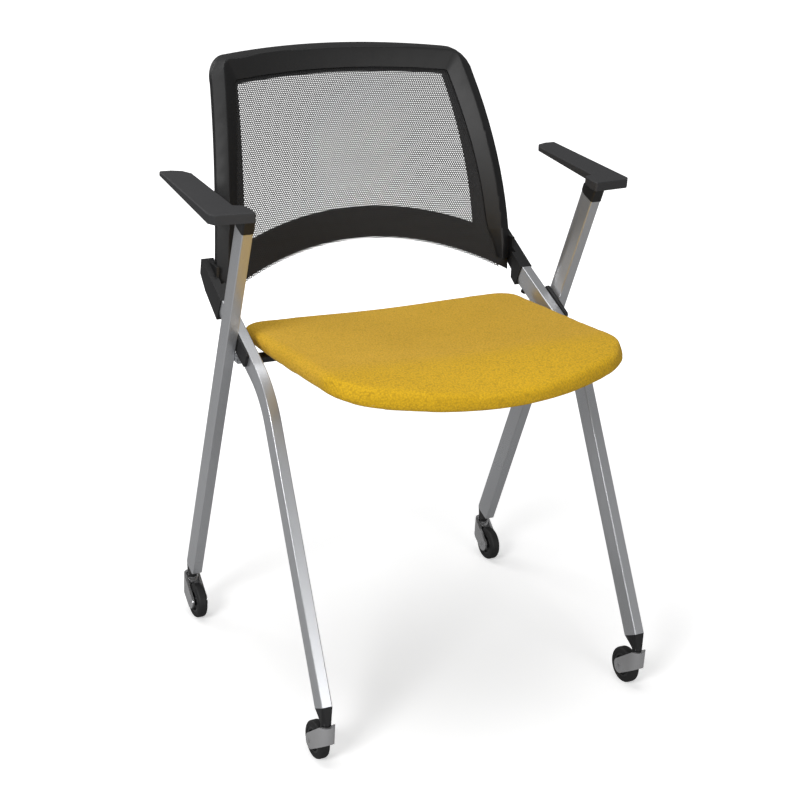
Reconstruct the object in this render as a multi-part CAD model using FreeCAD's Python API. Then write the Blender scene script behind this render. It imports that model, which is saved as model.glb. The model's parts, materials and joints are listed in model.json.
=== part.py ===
import FreeCAD, Part
import math
import os

# Nesting chair with a flip-up seat, four casters, arm pads and a mesh back.
# Millimetres. +Z is up, the sitter faces -Y, +X is the right side of a viewer
# who stands in front and looks along +Y. Heights are from the floor.
# The model is drawn about the place midway between the four feet and is moved
# along Y at the end, so that its origin is the centre of its underside.

V = FreeCAD.Vector
SIDES = (("left", -1), ("right", 1))

# Fits shared by the whole chair
pin_clearance = 0.05
face_gap = 0.3
press_gap = 0.02

# Leg tubes: flat in front, half an ellipse behind
tube_width = 15.0
tube_depth = 34.0
tube_wall = 1.5
tube_front_radius = 1.5
tube_flat_side = 15.6

# Rear leg, which runs up and forward to carry the arm pad
rear_foot_x = 244.7
rear_foot_y = 209.3
rear_foot_z = 67.4
rear_leg_lean = 18.4
rear_leg_splay = 1.1
rear_leg_length = 592.3

# Front leg, which bends under the seat and carries the back
front_foot_x = 235.5
front_foot_y = -208.1
front_foot_z = 85.2
front_leg_slope = 60.0
back_post_slope = 24.0
front_leg_length = 405.0
front_bend_radius = 143.4
back_post_length = 163.5
front_leg_toe_in = 0.66

# Tie rod under the seat, the cross tube round it, and the steel lug in the
# gap between the crossing tubes that takes each end of the rod
rod_y = 74.5
rod_z = 444.0
rod_diameter = 6.0
cross_tube_diameter = 14.0
cross_tube_wall = 1.9
lug_height = 9.0
lug_rear = 29.0

# Plastic spacer between the two tubes where they cross
spacer_front = -31.0
spacer_rear = 32.0
spacer_above = 3.0
spacer_below = 20.0
spacer_corner = 4.0

# Casters
wheel_diameter = 50.0
tread_flat = 0.1
wheel_width = 14.0
wheel_tread_round = 4.0
hub_diameter = 34.0
hub_web = 7.0
hub_rim = 3.0
hub_boss_diameter = 14.0
axle_diameter = 6.0
caster_trail = 21.5
front_stem_y = -206.0
rear_stem_y = 229.0
stem_diameter = 7.0
stem_in_plug = 14.0
stem_collar_diameter = 11.0
stem_collar = 0.7
fork_top_z = 59.5
fork_thickness = 3.4
fork_side_gap = 1.4
fork_nose_height = 21.0
fork_arm_fall = 35.0
fork_tip_radius = 10.5
fork_boss_top_z = 54.0
wheel_clearance = 1.6

# Black plugs that close the feet of the tubes and hold the caster stems
plug_end_diameter = 13.5
plug_end_z = 55.0
plug_collar = 5.5
plug_spigot = 24.0

# Seat, drawn flat in its own frame and tilted with its front edge up
seat_half_width = 214.5
seat_rear = 154.5
seat_front = -211.5
seat_thickness = 21.0
seat_base_z = 458.4
seat_tilt = 5.15
seat_front_bow = 390.0
seat_front_corner = 48.0
seat_rear_corner = 38.0
waterfall_start = -90.0
waterfall_radius = 315.0
seat_dish = 3.0
seat_dish_half_width = 150.0
pocket_depth = 10.0
board_thickness = 7.0
board_half_width = 188.0
board_rear = 132.0
board_front_angle = 15.0
board_corner = 30.0
shell_thickness = 2.0

# Seat hinges, which turn on the cross tube
hinge_x = 140.0
hinge_width = 34.0
hinge_flange_half = 31.0
hinge_flange = 3.0
hinge_wall = 4.0
bush_diameter = 18.0
bush_flange = 1.5
bush_flange_diameter = 22.0
hinge_screw_diameter = 4.0
hinge_screw_head = 7.0
hinge_screw_head_height = 2.0
hinge_screw_y = 26.0
cap_screw_y = 17.0

# Rests on the cross tube that hold the seat level
rest_x = 60.0
rest_width = 24.0
rest_reach = 46.0
rest_thickness = 6.0
bumper_diameter = 16.0
bumper_height = 6.0
bumper_reach = 34.0

# Screws that hold the under-shell to the board
seat_screw_diameter = 4.0
seat_screw_head = 8.0
seat_screw_head_height = 1.6
seat_screw_length = 7.0
seat_screw_x = 165.0

# Arm pads
pad_top_z = 658.3
pad_top_slope = 2.27
pad_front_thickness = 12.8
pad_bottom_slope = 4.4
pad_front_y = 15.0
pad_rear_y = 208.0
pad_inner_x = 248.0
pad_strip_inner_x = 264.2
pad_outer_x = 307.0
pad_arm_depth = 35.0
pad_edge_round = 1.6
bracket_skin = 0.8
bracket_plug = 22.0
arm_screw_diameter = 5.0
arm_screw_head = 9.0
arm_screw_head_height = 2.4

# Curved surface of the back: upright at one height, reclined above it,
# and bowed back in the middle
back_curve_radius = 555.0
back_upright_z = 460.0
back_front_y = 182.0
back_bow = 25.0
back_bow_half_width = 200.0

# Outline of the back, seen from the front
back_low_z = 505.0
back_low_half_width = 228.8
back_side_radius = 1900.0
back_corner_z = 757.0
back_corner_half_width = 200.3
back_corner_radius = 34.0
back_top_z = 796.4
back_top_fall = 6.0
back_top_half_width = 166.0

# Bezel, mesh and rear frame of the back, measured inward and backward
bead_inset = 15.0
bead_inset_top = 3.4
bead_corner_radius = 14.0
bezel_depth = 12.6
bezel_edge_depth = 10.4
bead_depth = 0.4
bead_flat = 3.0
bezel_inner_depth = 10.6
bezel_width_high = 36.0
bezel_width_side = 31.0
bezel_width_low = 17.8
bezel_width_top = 30.0
bezel_taper_z = 560.0
bezel_inner_radius = 6.0
mesh_depth = 12.9
mesh_thickness = 0.8
mesh_inset = 9.0
ring_depth = 14.0
ring_thickness = 8.0
ring_edge_inset = 1.5
ring_width_top = 36.4
ring_width_high = 41.0
ring_width_low = 47.5
window_corner_radius = 4.0

# Arched cross bar of the back
bar_top_z = 584.0
bar_top_fall = 28.5
bar_height = 41.0
bar_low_fall = 32.5
bar_half_width = 170.0
bar_tab_inner_x = 172.0
bar_tab_outer_x = 207.0
bar_tab_low_z = 515.0
bar_tab_high_z = 545.0
bar_tab_thickness = 4.0
bar_tab_root = 6.0
bar_screw_diameter = 4.0
bar_screw_head = 7.5
bar_screw_head_height = 1.6
bar_screw_x = 198.0
bar_screw_z = 531.0
bar_middle_screw_z = 568.0
mesh_fringe = 4.0

# Brackets that carry the back on the ends of the front tubes
bracket_slope = 27.0
bracket_top_length = 80.0
bracket_rear_height = 21.0
bracket_under_y = 200.0
bracket_under_z = 499.0
bracket_side = 1.5
bracket_tongue = 30.0
bracket_screw_diameter = 5.0
bracket_screw_head = 9.0
bracket_screw_head_height = 2.5
bracket_screw_run = 14.0
bracket_tab_inner_x = 211.0
bracket_tab_low_z = 503.0
bracket_tab_high_z = 536.0
bracket_tab_rear_y = 213.0
tab_screw_x = 218.0
tab_screw_pitch = 16.0
tab_screw_length = 14.0


# Small helpers

def mirrored(shape, side):
    """The shape as drawn on the right side, or its mirror image for the left."""
    if side > 0:
        return shape.copy()
    return shape.mirror(V(0, 0, 0), V(1, 0, 0))


def polygon_face(points):
    return Part.Face(Part.makePolygon(points + [points[0]]))


def side_prism(points, x_low, x_high):
    """A prism along X from (y, z) points."""
    face = polygon_face([V(x_low, y, z) for y, z in points])
    return face.extrude(V(x_high - x_low, 0, 0))


def rod_x(y, z, diameter, x_low, x_high):
    return Part.makeCylinder(diameter / 2, x_high - x_low, V(x_low, y, z), V(1, 0, 0))


def rod_z_axis(x, y, diameter, z_low, z_high):
    return Part.makeCylinder(diameter / 2, z_high - z_low, V(x, y, z_low))


def turned(shape, axis, degrees, centre=V(0, 0, 0)):
    result = shape.copy()
    result.rotate(centre, axis, degrees)
    return result


def moved(shape, x, y, z):
    result = shape.copy()
    result.translate(V(x, y, z))
    return result


def round_edges(shape, radius, wanted):
    """Rounds the edges that the test picks."""
    edges = [edge for edge in shape.Edges if wanted(edge)]
    return shape.makeFillet(radius, edges)


# Leg tubes

def tube_wire(grow, height=0.0, width=tube_width, depth=tube_depth,
              corner=tube_front_radius, flat=tube_flat_side):
    """The tube's outline, its front on y = 0, made larger or smaller all round."""
    half = width / 2 + grow
    front = -grow
    back = depth + grow
    radius = max(corner + grow, 0.3)
    turn = radius * (1 - math.sqrt(0.5))
    front_line = Part.makeLine(V(-half + radius, front, height), V(half - radius, front, height))
    right_corner = Part.Arc(V(half - radius, front, height),
                            V(half - turn, front + turn, height),
                            V(half, front + radius, height)).toShape()
    right_side = Part.makeLine(V(half, front + radius, height), V(half, flat, height))
    ellipse = Part.Ellipse(V(0, back, height), V(half, flat, height), V(0, flat, height))
    rear = Part.ArcOfEllipse(ellipse, -math.pi / 2, math.pi / 2).toShape()
    left_side = Part.makeLine(V(-half, flat, height), V(-half, front + radius, height))
    left_corner = Part.Arc(V(-half, front + radius, height),
                           V(-half + turn, front + turn, height),
                           V(-half + radius, front, height)).toShape()
    return Part.Wire([front_line, right_corner, right_side, rear, left_side, left_corner])


def place_rear(shape):
    """From the rear leg's own frame, with Z along the tube, to the chair."""
    result = turned(shape, V(1, 0, 0), rear_leg_lean)
    result = turned(result, V(0, 1, 0), rear_leg_splay)
    return moved(result, rear_foot_x, rear_foot_y, rear_foot_z)


def place_front(shape):
    """From the front leg's own frame, with Z along its lower run, to the chair."""
    result = turned(shape, V(1, 0, 0), front_leg_slope - 90)
    result = turned(result, V(0, 0, 1), front_leg_toe_in)
    return moved(result, front_foot_x, front_foot_y, front_foot_z)


bend_angle = front_leg_slope - back_post_slope
bend_tangent = front_bend_radius * math.tan(math.radians(bend_angle / 2))
front_lower_run = front_leg_length - bend_tangent
front_upper_run = back_post_length - bend_tangent


def rear_tube_core(grow, z_low, z_high):
    face = Part.Face(tube_wire(grow, z_low))
    return place_rear(face.extrude(V(0, 0, z_high - z_low)))


def to_post(shape):
    """From the lower run's frame to the frame of the upper run, past the bend."""
    centre = V(0, front_bend_radius, front_lower_run)
    return turned(moved(shape, 0, 0, front_lower_run), V(-1, 0, 0), bend_angle, centre)


def front_tube_core(grow, below=0.0, beyond=0.0):
    """The bent tube's solid, with its two ends made longer or shorter."""
    lower = Part.Face(tube_wire(grow, -below)).extrude(V(0, 0, front_lower_run + below))
    start = Part.Face(tube_wire(grow, front_lower_run))
    bend = start.revolve(V(0, front_bend_radius, front_lower_run), V(-1, 0, 0), bend_angle)
    upper = to_post(Part.Face(tube_wire(grow)).extrude(V(0, 0, front_upper_run + beyond)))
    return place_front(lower.fuse([bend, upper]).removeSplitter())


def post_piece(shape):
    """Places a shape drawn on the upper run, with z = 0 at the tube's rear end."""
    return place_front(to_post(moved(shape, 0, 0, front_upper_run)))


def rear_leg():
    tube = rear_tube_core(0, 0, rear_leg_length)
    return tube.cut(rear_tube_core(-tube_wall, -1, rear_leg_length + 1))


def front_leg():
    tube = front_tube_core(0).cut(front_tube_core(-tube_wall, 1, 1))
    hole = rod_x(rod_y, rod_z, rod_diameter + 2 * pin_clearance,
                 front_foot_x - 2 * tube_width, front_foot_x + tube_width)
    screw_hole = post_piece(Part.makeCylinder(bracket_screw_diameter / 2 + pin_clearance, tube_depth,
                                              V(0, tube_depth / 2, -bracket_screw_run), V(0, 1, 0)))
    return tube.cut([hole, screw_hole])


def front_tube_span_x():
    """Where the rod's axis enters and leaves the front tube."""
    probe = Part.makeLine(V(0, rod_y, rod_z), V(rear_foot_x + tube_width, rod_y, rod_z))
    inside = probe.common(front_tube_core(0))
    return inside.BoundBox.XMin, inside.BoundBox.XMax


# Tie rod, cross tube and spacers

def crossing_lug():
    """A steel bar in the gap between the tubes, round at its front end."""
    half = lug_height / 2
    x_low = front_foot_x - tube_width
    x_high = rear_foot_x + tube_width
    blank = Part.makeBox(x_high - x_low, lug_rear, lug_height, V(x_low, rod_y, rod_z - half))
    blank = blank.fuse(rod_x(rod_y, rod_z, lug_height, x_low, x_high)).removeSplitter()
    bore = rod_x(rod_y, rod_z, rod_diameter + 2 * press_gap, 0, 2 * rear_foot_x)
    blank = blank.common(gap_between_tubes(press_gap))
    return blank.cut(bore)


def gap_between_tubes(gap):
    """The slot from the front tube's outer side to the rear tube's inner side."""
    long = 2 * rear_leg_length
    inner_side = Part.makeBox(long, long, long, V(tube_width / 2 + gap, -long / 2, -long / 2))
    outer_side = Part.makeBox(long, long, long, V(-tube_width / 2 - gap - long, -long / 2, -long / 2))
    return place_front(inner_side).common(place_rear(outer_side))


def tie_rod(end_x):
    return rod_x(rod_y, rod_z, rod_diameter, -end_x, end_x)


def cross_tube(inner_x):
    reach = inner_x + 2
    outer = rod_x(rod_y, rod_z, cross_tube_diameter, -reach, reach)
    bore = rod_x(rod_y, rod_z, cross_tube_diameter - 2 * cross_tube_wall, -reach - 1, reach + 1)
    keep_out = front_tube_core(press_gap)
    return outer.cut([bore, keep_out, mirrored(keep_out, -1)])


def leg_spacer():
    """A black block that fills the wedge between the crossing tubes."""
    run = math.radians(back_post_slope)
    along = (math.cos(run), math.sin(run))
    up = (-math.sin(run), math.cos(run))
    top_z = front_top_z(rod_y)
    corners = [(spacer_front, -spacer_below), (spacer_rear, -spacer_below),
               (spacer_rear, spacer_above), (spacer_front, spacer_above)]
    points = [(rod_y + a * along[0] + n * up[0], top_z + a * along[1] + n * up[1]) for a, n in corners]
    block = side_prism(points, front_foot_x - tube_width / 2, rear_foot_x + tube_width / 2)
    block = round_edges(block, spacer_corner,
                        lambda edge: abs(edge.tangentAt(edge.FirstParameter).x) > 0.99)
    block = block.common(gap_between_tubes(face_gap))
    room = rod_x(rod_y, rod_z, lug_height + 2 * face_gap, 0, 2 * rear_foot_x)
    room = room.fuse(Part.makeBox(2 * rear_foot_x, lug_rear + face_gap, lug_height + 2 * face_gap,
                                  V(0, rod_y, rod_z - lug_height / 2 - face_gap)))
    return block.cut(room)


def front_top_z(y):
    """Height of the back post's top face at a given y."""
    corner_y = front_foot_y + front_leg_length * math.cos(math.radians(front_leg_slope))
    corner_z = front_foot_z + front_leg_length * math.sin(math.radians(front_leg_slope))
    return corner_z + (y - corner_y) * math.tan(math.radians(back_post_slope))


# Casters

class Caster:
    """One caster: where its stem stands and which way its wheel trails."""

    def __init__(self, name, x, stem_y, direction):
        self.name = name
        self.x = x
        self.stem_y = stem_y
        self.direction = direction

    def place(self, shape):
        """From the caster's frame, stem at the origin and trail along +Y."""
        result = shape
        if self.direction < 0:
            result = turned(shape, V(0, 0, 1), 180)
        return moved(result, self.x, self.stem_y, 0)


def wheel_z():
    """Height of the axle: the tread is pressed flat by a tenth where it stands."""
    return wheel_diameter / 2 - tread_flat


def fork():
    """A bent strap round the stem, with two arms down to the axle."""
    half_inside = wheel_width / 2 + fork_side_gap
    half_outside = half_inside + fork_thickness
    reach = caster_trail + fork_tip_radius
    tall = fork_top_z + 1

    def loop(half):
        ring = Part.makeCylinder(half, tall)
        return ring.fuse(Part.makeBox(2 * half, reach + 1, tall, V(-half, 0, 0))).removeSplitter()

    strap = loop(half_outside).cut(loop(half_inside))
    boss = Part.makeCylinder(half_inside + 0.01, fork_boss_top_z - wheel_z(), V(0, 0, wheel_z()))
    body = strap.fuse(boss)
    fall = math.radians(fork_arm_fall)
    nose = -half_outside - 1
    tip = V(0, caster_trail, wheel_z())
    shoulder_y = -half_inside / 2
    # The upper edge falls from the shoulder and is tangent to the rounded tip.
    upper_z = fork_top_z - fork_nose_height
    touch = (tip.y + fork_tip_radius * math.sin(fall), tip.z + fork_tip_radius * math.cos(fall))
    top_y = touch[0] - (fork_top_z - touch[1]) / math.tan(fall)
    under = (tip.y - fork_tip_radius * math.sin(fall), tip.z - fork_tip_radius * math.cos(fall))
    low_y = under[0] - (upper_z - under[1]) / math.tan(fall)
    profile = side_prism([(nose, upper_z), (low_y, upper_z), under, touch,
                          (max(top_y, shoulder_y), fork_top_z), (nose, fork_top_z)],
                         -half_outside - 1, half_outside + 1)
    disc = rod_x(tip.y, tip.z, 2 * fork_tip_radius, -half_outside - 1, half_outside + 1)
    body = body.common(profile.fuse(disc).removeSplitter())
    room = rod_x(caster_trail, wheel_z(), wheel_diameter + 2 * wheel_clearance,
                 -half_inside, half_inside)
    stem_bore = Part.makeCylinder(stem_diameter / 2 + press_gap, tall)
    axle_bore = rod_x(caster_trail, wheel_z(), axle_diameter + 2 * press_gap,
                      -half_outside - 1, half_outside + 1)
    body = body.cut([room, stem_bore, axle_bore])
    return max(body.Solids, key=lambda solid: solid.Volume)


def caster_stem():
    lowest = wheel_z() + math.sqrt((wheel_z() + wheel_clearance) ** 2
                                   - (caster_trail - stem_diameter / 2) ** 2) + face_gap
    pin = Part.makeCylinder(stem_diameter / 2, plug_end_z + stem_in_plug - lowest, V(0, 0, lowest))
    collar = Part.makeCylinder(stem_collar_diameter / 2, stem_collar, V(0, 0, fork_boss_top_z))
    return pin.fuse(collar).removeSplitter()


def caster_axle():
    half = wheel_width / 2 + fork_side_gap + fork_thickness
    return rod_x(caster_trail, wheel_z(), axle_diameter, -half, half)


def wheel_ring(outer, inner, half):
    """A ring round the X axis."""
    return rod_x(0, 0, outer, -half, half).cut(rod_x(0, 0, inner, -half - 1, half + 1))


def caster_hub():
    half = wheel_width / 2
    rim = wheel_ring(hub_diameter, hub_diameter - 2 * hub_rim, half - 0.5)
    web = wheel_ring(hub_diameter - 2 * hub_rim, axle_diameter + 2 * pin_clearance, hub_web / 2)
    boss = wheel_ring(hub_boss_diameter, axle_diameter + 2 * pin_clearance, half + fork_side_gap / 2)
    body = rim.fuse([web, boss]).removeSplitter()
    return moved(body, 0, caster_trail, wheel_z())


def caster_tyre():
    body = wheel_ring(wheel_diameter, hub_diameter + 2 * press_gap, wheel_width / 2)
    body = round_edges(body, wheel_tread_round,
                       lambda edge: edge.BoundBox.ZMax > wheel_z() - 0.1 and edge.BoundBox.XLength < 0.1)
    tyre = moved(body, 0, caster_trail, wheel_z())
    ground = Part.makeBox(2 * wheel_width, wheel_diameter, wheel_width,
                          V(-wheel_width, caster_trail - wheel_diameter / 2, -wheel_width))
    return tyre.cut(ground)


def leg_plug(place, stem_y, stem_x):
    """Fills the tube's foot and tapers down to a round end over the fork."""
    spigot = place(Part.Face(tube_wire(-tube_wall - press_gap)).extrude(V(0, 0, plug_spigot)))
    top = place(tube_wire(0))
    end = plug_end_diameter
    middle = tube_wire(0, 0, end, end, end / 2 - 0.3, end / 2)
    middle = moved(middle, stem_x, stem_y - end / 2, plug_end_z + plug_collar)
    taper = Part.makeLoft([middle, top], True, True)
    collar = Part.Face(middle).extrude(V(0, 0, -plug_collar))
    body = spigot.fuse([taper, collar]).removeSplitter()
    bore = rod_z_axis(stem_x, stem_y, stem_diameter + 2 * pin_clearance,
                      plug_end_z - 1, plug_end_z + stem_in_plug + 1)
    return body.cut(bore)


# Seat

def seat_local(shape):
    """From the seat's flat frame to the chair."""
    return moved(turned(shape, V(1, 0, 0), -seat_tilt), 0, 0, seat_base_z)


def to_seat_frame(y, z):
    """A side-view point of the chair in the seat's flat frame."""
    tilt = math.radians(seat_tilt)
    high = z - seat_base_z
    return (y * math.cos(tilt) - high * math.sin(tilt), y * math.sin(tilt) + high * math.cos(tilt))


def corner_retreat(x, radius):
    """How far a rounded corner pulls an edge in at this x."""
    past = abs(x) - (seat_half_width - radius)
    if past <= 0:
        return 0.0
    return radius - math.sqrt(max(radius ** 2 - past ** 2, 0.0))


def cushion_section(x):
    """One upright slice of the cushion: line, arcs and two rounded noses."""
    edge = seat_thickness / 2
    inward = seat_half_width - abs(x)
    half = edge
    if inward < edge:
        half = math.sqrt(edge ** 2 - (edge - inward) ** 2)
    dish = 0.0
    if abs(x) < seat_dish_half_width:
        dish = seat_dish * (1 - (x / seat_dish_half_width) ** 2) ** 2
    low = edge - half
    high = edge + half - dish
    half = (high - low) / 2
    middle = (high + low) / 2
    rear = seat_rear - corner_retreat(x, seat_rear_corner)
    front = seat_front + x * x / (2 * seat_front_bow) + corner_retreat(x, seat_front_corner)
    reach = (waterfall_start - half - front) / (waterfall_radius + middle)
    angle = math.asin(reach)

    def at(radius, turn):
        return V(x, waterfall_start - radius * math.sin(turn),
                 -waterfall_radius + radius * math.cos(turn))

    def nose(turn):
        """A point on the front nose, from its underside to its top."""
        centre = at(waterfall_radius + middle, angle)
        outward = V(0, -math.sin(angle), math.cos(angle))
        ahead = V(0, -math.cos(angle), -math.sin(angle))
        return centre + outward * (half * math.sin(turn)) + ahead * (half * math.cos(turn))

    def tail(turn):
        return V(x, rear - half + half * math.cos(turn), middle + half * math.sin(turn))

    quarter = math.pi / 2
    low_radius = waterfall_radius + low
    high_radius = waterfall_radius + high
    edges = [
        Part.makeLine(tail(-quarter), at(low_radius, 0)),
        Part.Arc(at(low_radius, 0), at(low_radius, angle / 2), at(low_radius, angle)).toShape(),
        Part.Arc(nose(-quarter), nose(-quarter / 2), nose(0)).toShape(),
        Part.Arc(nose(0), nose(quarter / 2), nose(quarter)).toShape(),
        Part.Arc(at(high_radius, angle), at(high_radius, angle / 2), at(high_radius, 0)).toShape(),
        Part.makeLine(at(high_radius, 0), tail(quarter)),
        Part.Arc(tail(quarter), tail(quarter / 2), tail(0)).toShape(),
        Part.Arc(tail(0), tail(-quarter / 2), tail(-quarter)).toShape(),
    ]
    return Part.Wire(edges)


def cushion_stations():
    """Where the slices stand, closer together towards each side."""
    edge = seat_thickness / 2
    insets = [0.04 * edge, 0.2 * edge, 0.5 * edge, edge, 1.8 * edge, 3 * edge,
              4.6 * edge, 7 * edge, 10.5 * edge, 15 * edge]
    right = [seat_half_width - inset for inset in insets if inset < seat_half_width]
    return [-x for x in right] + [0.0] + right[::-1]


def pan(half_width, rear, low, high, front_angle, corner):
    """A plate that follows the waterfall, with rounded corners."""
    turn = math.radians(front_angle)

    def at(radius, angle):
        return V(-half_width, waterfall_start - radius * math.sin(angle),
                 -waterfall_radius + radius * math.cos(angle))

    low_radius = waterfall_radius + low
    high_radius = waterfall_radius + high
    rear_low = V(-half_width, rear, low)
    rear_high = V(-half_width, rear, high)
    edges = [
        Part.makeLine(rear_low, at(low_radius, 0)),
        Part.Arc(at(low_radius, 0), at(low_radius, turn / 2), at(low_radius, turn)).toShape(),
        Part.makeLine(at(low_radius, turn), at(high_radius, turn)),
        Part.Arc(at(high_radius, turn), at(high_radius, turn / 2), at(high_radius, 0)).toShape(),
        Part.makeLine(at(high_radius, 0), rear_high),
        Part.makeLine(rear_high, rear_low),
    ]
    body = Part.Face(Part.Wire(edges)).extrude(V(2 * half_width, 0, 0))
    front = waterfall_start - high_radius * math.sin(turn) - 1
    rounding = Part.makeBox(2 * half_width, rear - front, waterfall_radius, V(-half_width, front, low - 60))
    rounding = round_edges(rounding, corner,
                           lambda edge: abs(edge.tangentAt(edge.FirstParameter).z) > 0.99)
    return body.common(rounding)


def seat_cushion():
    foam = Part.makeLoft([cushion_section(x) for x in cushion_stations()], True, False)
    pocket = pan(board_half_width + face_gap, board_rear + face_gap, -40,
                 pocket_depth, board_front_angle + 0.1, board_corner)
    return foam.cut(pocket)


def hinge_axis():
    return to_seat_frame(rod_y, rod_z)


def screw_up(x, y, base, diameter, head, head_height, length):
    """A screw that points up, its head below the base height."""
    shank = Part.makeCylinder(diameter / 2, length, V(x, y, base))
    cap = Part.makeCylinder(head / 2, head_height, V(x, y, base - head_height))
    return shank.fuse(cap).removeSplitter()


board_low = pocket_depth - face_gap - board_thickness
shell_low = board_low - face_gap - shell_thickness


def seat_screw_places():
    return [(side * seat_screw_x, y) for _, side in SIDES for y in (board_rear - 22, 0, waterfall_start + 8)]


def hinge_screw_places():
    centre = hinge_axis()[0]
    return [(side * hinge_x, centre + end * hinge_screw_y) for _, side in SIDES for end in (-1, 1)]


def seat_board():
    body = pan(board_half_width, board_rear, board_low, board_low + board_thickness,
               board_front_angle, board_corner)
    holes = [rod_z_axis(x, y, seat_screw_diameter + 2 * press_gap, 0, board_low + board_thickness - 1)
             for x, y in seat_screw_places()]
    holes += [rod_z_axis(x, y, hinge_screw_diameter + 2 * press_gap, 0, board_low + board_thickness - 1)
              for x, y in hinge_screw_places()]
    return body.cut(holes)


def seat_shell():
    body = pan(board_half_width, board_rear, shell_low, shell_low + shell_thickness,
               board_front_angle, board_corner)
    centre = hinge_axis()[0]
    windows = []
    for _, side in SIDES:
        wide = hinge_width + 2 * bush_flange + 2 * face_gap
        windows.append(Part.makeBox(wide, 2 * hinge_flange_half + 2 * face_gap, 20,
                                    V(side * hinge_x - wide / 2, centre - hinge_flange_half - face_gap, -10)))
    holes = [rod_z_axis(x, y, seat_screw_diameter + 2 * press_gap, -10, 20)
             for x, y in seat_screw_places()]
    return body.cut(windows + holes)


def seat_screws():
    return [screw_up(x, y, shell_low, seat_screw_diameter, seat_screw_head,
                     seat_screw_head_height, seat_screw_length) for x, y in seat_screw_places()]


def hinge_half(upper):
    """The upper or lower half of the clamp round the bush, for the right side."""
    y, z = hinge_axis()
    wall = bush_diameter / 2 + hinge_wall
    flange_z = board_low - hinge_flange
    x_low = hinge_x - hinge_width / 2
    if upper:
        body = Part.makeBox(hinge_width, 2 * (wall + cap_screw_room()), board_low - z,
                            V(x_low, y - wall - cap_screw_room(), z))
        flange = Part.makeBox(hinge_width, 2 * hinge_flange_half, hinge_flange,
                              V(x_low, y - hinge_flange_half, flange_z))
        body = body.fuse(flange).removeSplitter()
    else:
        body = rod_x(y, z, 2 * wall, x_low, x_low + hinge_width)
        ears = Part.makeBox(hinge_width, 2 * (wall + cap_screw_room()), hinge_wall,
                            V(x_low, y - wall - cap_screw_room(), z - hinge_wall - face_gap))
        body = body.fuse(ears).removeSplitter()
        body = body.cut(Part.makeBox(2 * hinge_width, 4 * wall, 2 * wall,
                                     V(hinge_x - hinge_width, y - 2 * wall, z - face_gap)))
    bore = rod_x(y, z, bush_diameter + 2 * press_gap, 0, 2 * hinge_x)
    holes = [rod_z_axis(hinge_x, y + end * cap_screw_y, hinge_screw_diameter + 2 * press_gap,
                        z - wall - 1, z + 5) for end in (-1, 1)]
    holes += [rod_z_axis(hinge_x, y + end * hinge_screw_y, hinge_screw_diameter + 2 * press_gap,
                         flange_z - 20, flange_z + 20) for end in (-1, 1)]
    return body.cut([bore] + holes)


def cap_screw_room():
    return cap_screw_y + hinge_screw_head / 2 + 1 - bush_diameter / 2 - hinge_wall


def hinge_bush():
    """Flanged plastic sleeve between the clamp and the cross tube."""
    y, z = hinge_axis()
    half = hinge_width / 2
    sleeve = rod_x(y, z, bush_diameter, hinge_x - half - bush_flange, hinge_x + half + bush_flange)
    flanges = [rod_x(y, z, bush_flange_diameter, hinge_x - half - bush_flange, hinge_x - half - press_gap),
               rod_x(y, z, bush_flange_diameter, hinge_x + half + press_gap, hinge_x + half + bush_flange)]
    bore = rod_x(y, z, cross_tube_diameter + 2 * pin_clearance, 0, 2 * hinge_x)
    sleeve = sleeve.fuse(flanges).removeSplitter().cut(bore)
    ceiling = Part.makeBox(4 * hinge_width, 4 * hinge_width, 20,
                           V(hinge_x - 2 * hinge_width, y - 2 * hinge_width, board_low - face_gap))
    return sleeve.cut(ceiling)


def hinge_screws():
    """Four short screws into the board and four that hold the lower halves on."""
    y, z = hinge_axis()
    screws = []
    for _, side in SIDES:
        for end in (-1, 1):
            screws.append(screw_up(side * hinge_x, y + end * hinge_screw_y, board_low - hinge_flange,
                                   hinge_screw_diameter, hinge_screw_head, hinge_screw_head_height,
                                   hinge_flange + board_thickness - 2))
            screws.append(screw_up(side * hinge_x, y + end * cap_screw_y, z - hinge_wall - face_gap,
                                   hinge_screw_diameter, hinge_screw_head, hinge_screw_head_height,
                                   hinge_wall + 4))
    return screws


def seat_rest():
    """A steel tongue on the cross tube, forward of it, for the right side."""
    y, z = hinge_axis()
    top = shell_low - face_gap - bumper_height
    body = Part.makeBox(rest_width, rest_reach, rest_thickness,
                        V(rest_x - rest_width / 2, y - rest_reach, top - rest_thickness))
    root = Part.makeBox(rest_width, cross_tube_diameter, cross_tube_diameter,
                        V(rest_x - rest_width / 2, y - cross_tube_diameter, z - cross_tube_diameter / 2))
    root = root.common(Part.makeBox(rest_width, 3 * rest_reach, 3 * rest_reach,
                                    V(rest_x - rest_width / 2, y - 2 * rest_reach, top - 3 * rest_reach)))
    body = body.fuse(root).removeSplitter()
    body = body.cut(rod_x(y, z, cross_tube_diameter + 2 * press_gap, 0, 2 * rest_x + rest_width))
    return max(body.Solids, key=lambda solid: solid.Volume)


def rest_bumper():
    y, _ = hinge_axis()
    top = shell_low - face_gap
    bumper = Part.makeCylinder(bumper_diameter / 2, bumper_height,
                               V(rest_x, y - bumper_reach, top - bumper_height))
    return round_edges(bumper, bumper_height / 4, lambda edge: edge.BoundBox.ZMin > top - 0.1)


# Arm pads

def pad_level(y, start, slope):
    return start + (y - pad_front_y) * math.tan(math.radians(slope))


def pad_bottom_start():
    return pad_top_z - pad_front_thickness


def slab_between(low_start, low_slope, high_start, high_slope):
    """Everything between two sloping planes near the arm."""
    y_low = pad_front_y - 60
    y_high = pad_rear_y + 60
    points = [(y_low, pad_level(y_low, low_start, low_slope)),
              (y_high, pad_level(y_high, low_start, low_slope)),
              (y_high, pad_level(y_high, high_start, high_slope)),
              (y_low, pad_level(y_low, high_start, high_slope))]
    return side_prism(points, pad_inner_x - 100, pad_outer_x + 100)


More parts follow.
